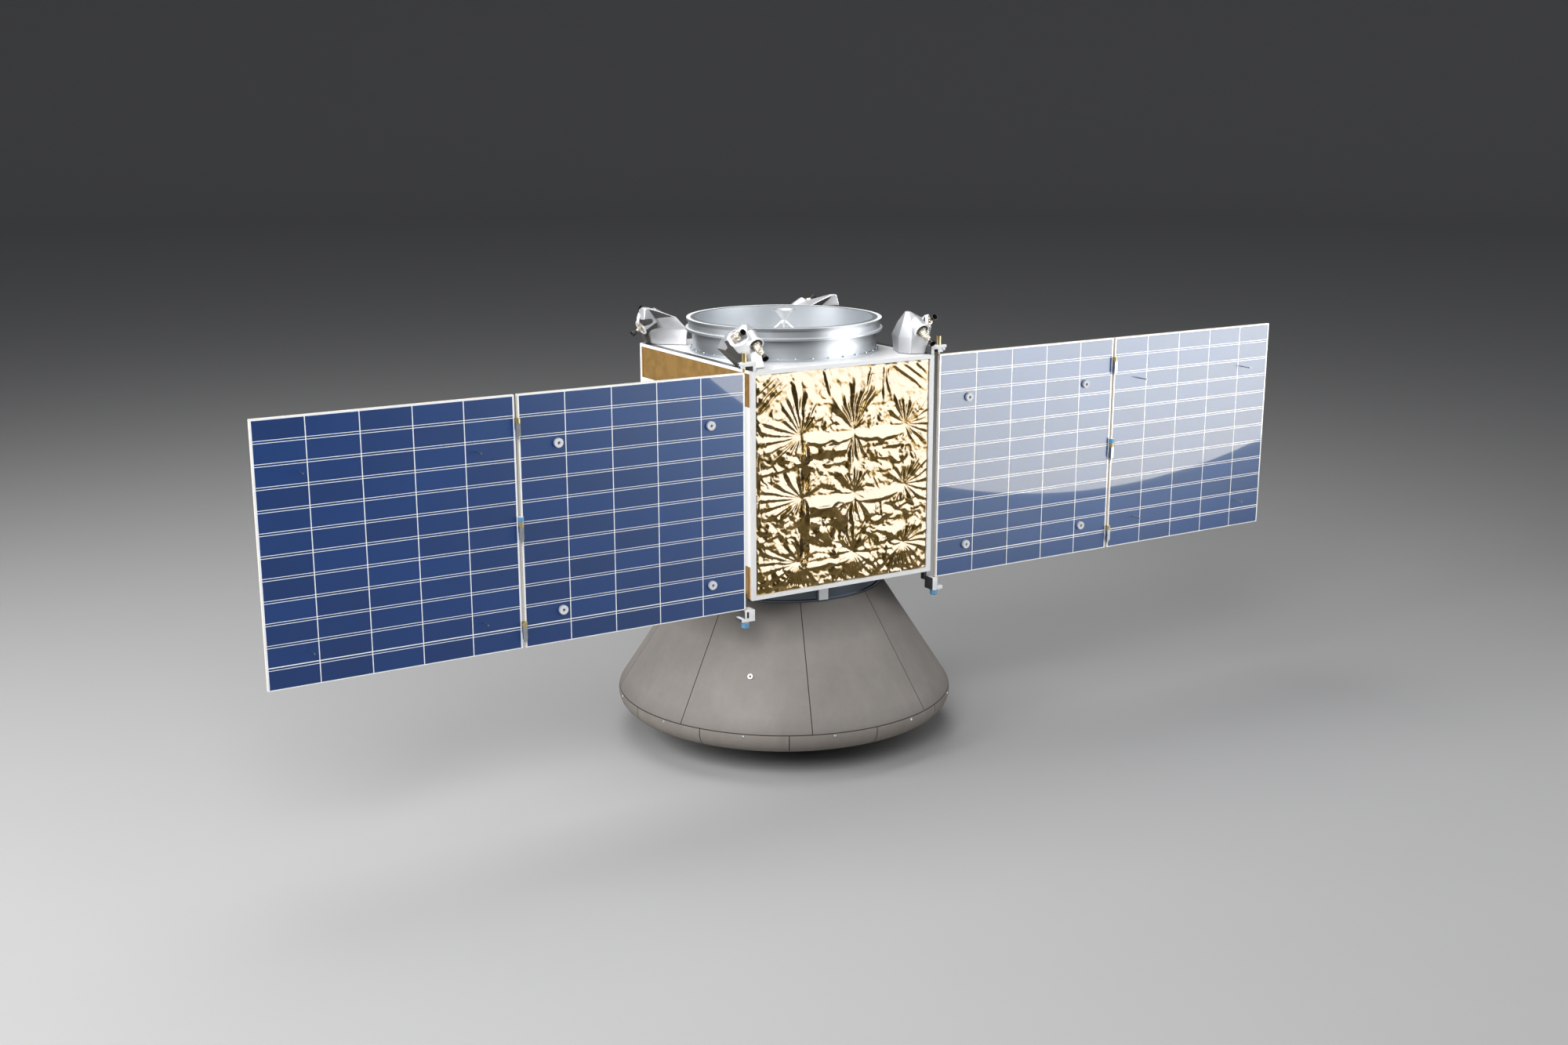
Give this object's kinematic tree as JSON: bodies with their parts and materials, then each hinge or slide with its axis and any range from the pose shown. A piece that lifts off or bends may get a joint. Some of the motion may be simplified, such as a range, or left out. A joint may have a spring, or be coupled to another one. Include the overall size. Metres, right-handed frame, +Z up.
{
  "type": "small recovery satellite",
  "caption": "Small satellite: a box bus with foil blankets, thruster pods and folding solar wings on a blunt return capsule.",
  "frame": {"origin": "on the capsule's axis, on the floor under the flat tile of the heat shield", "axes": "+Z up from the heat shield to the launch ring, wings along X, front (-Y) is the side with the solar cells"},
  "size_m": [2.9538, 0.9, 1.1385],
  "materials": {
    "heat_shield": "matt ablative tile, warm grey",
    "thermal_panels": "matt thermal protection, warm grey",
    "white_paint": "satin white thermal paint",
    "bare_metal": "plain machined",
    "ring_metal": "anodised, satin",
    "nozzle_metal": "heat-tinted niobium",
    "silver_foil": "crinkled silver blanket over a folded shroud",
    "gold_foil": "crinkled gold film blanket",
    "amber_film": "amber film over a skin",
    "solar_panel": "blue cells under cover glass on a pale substrate",
    "hinge_metal": "satin",
    "brass": "satin",
    "blue_cap": "blue anodised"
  },
  "bodies": {
    "bus": {"heat_shield": "heat_shield", "shoulder_tiles": "heat_shield", "cone_panels": "thermal_panels", "port_sleeve": "white_paint", "capsule_lid": "bare_metal", "payload_canister": "bare_metal", "separation_ring": "ring_metal", "ring_clamps": "white_paint", "bus_floor": "bare_metal", "top_deck": "white_paint", "front_frame": "white_paint", "front_blanket": "gold_foil", "back_frame": "white_paint", "back_blanket": "gold_foil", "left_side_panel": "white_paint", "left_film_strips": "amber_film", "right_side_panel": "white_paint", "right_film_strips": "amber_film", "propellant_tank": "bare_metal", "launch_ring": "ring_metal", "main_thruster": "nozzle_metal", "thruster_mount": "white_paint", "front_left_pod": "silver_foil", "front_left_jets": "brass", "front_right_pod": "silver_foil", "front_right_jets": "brass", "back_left_pod": "silver_foil", "back_left_jets": "brass", "back_right_pod": "silver_foil", "back_right_jets": "brass", "left_root_brackets": "hinge_metal", "right_root_brackets": "hinge_metal"},
    "left_inner_wing": {"left_inner_panel": "solar_panel", "left_cups": "white_paint", "left_inner_leaves": "hinge_metal", "left_middle_pins": "brass", "left_hinge_button": "blue_cap", "left_root_pins": "brass", "left_root_button": "blue_cap"},
    "left_outer_wing": {"left_outer_panel": "solar_panel", "left_rods": "ring_metal", "left_outer_leaves": "hinge_metal"},
    "right_inner_wing": {"right_inner_panel": "solar_panel", "right_cups": "white_paint", "right_inner_leaves": "hinge_metal", "right_middle_pins": "brass", "right_hinge_button": "blue_cap", "right_root_pins": "brass", "right_root_button": "blue_cap"},
    "right_outer_wing": {"right_outer_panel": "solar_panel", "right_rods": "ring_metal", "right_outer_leaves": "hinge_metal"}
  },
  "joints": [
    {"name": "left_root_hinge", "type": "hinge", "parent": "bus", "child": "left_inner_wing", "pos_m": [-0.2895, -0.2859, 0.73683], "axis": [0, 0, 1], "range_deg": [-90, 0]},
    {"name": "left_middle_hinge", "type": "hinge", "parent": "left_inner_wing", "child": "left_outer_wing", "pos_m": [-0.88405, -0.2969, 0.73683], "axis": [0, 0, 1], "range_deg": [0, 180]},
    {"name": "right_root_hinge", "type": "hinge", "parent": "bus", "child": "right_inner_wing", "pos_m": [0.2895, -0.2859, 0.73683], "axis": [0, 0, 1], "range_deg": [0, 90]},
    {"name": "right_middle_hinge", "type": "hinge", "parent": "right_inner_wing", "child": "right_outer_wing", "pos_m": [0.88405, -0.2969, 0.73683], "axis": [0, 0, 1], "range_deg": [-180, 0]}
  ]
}
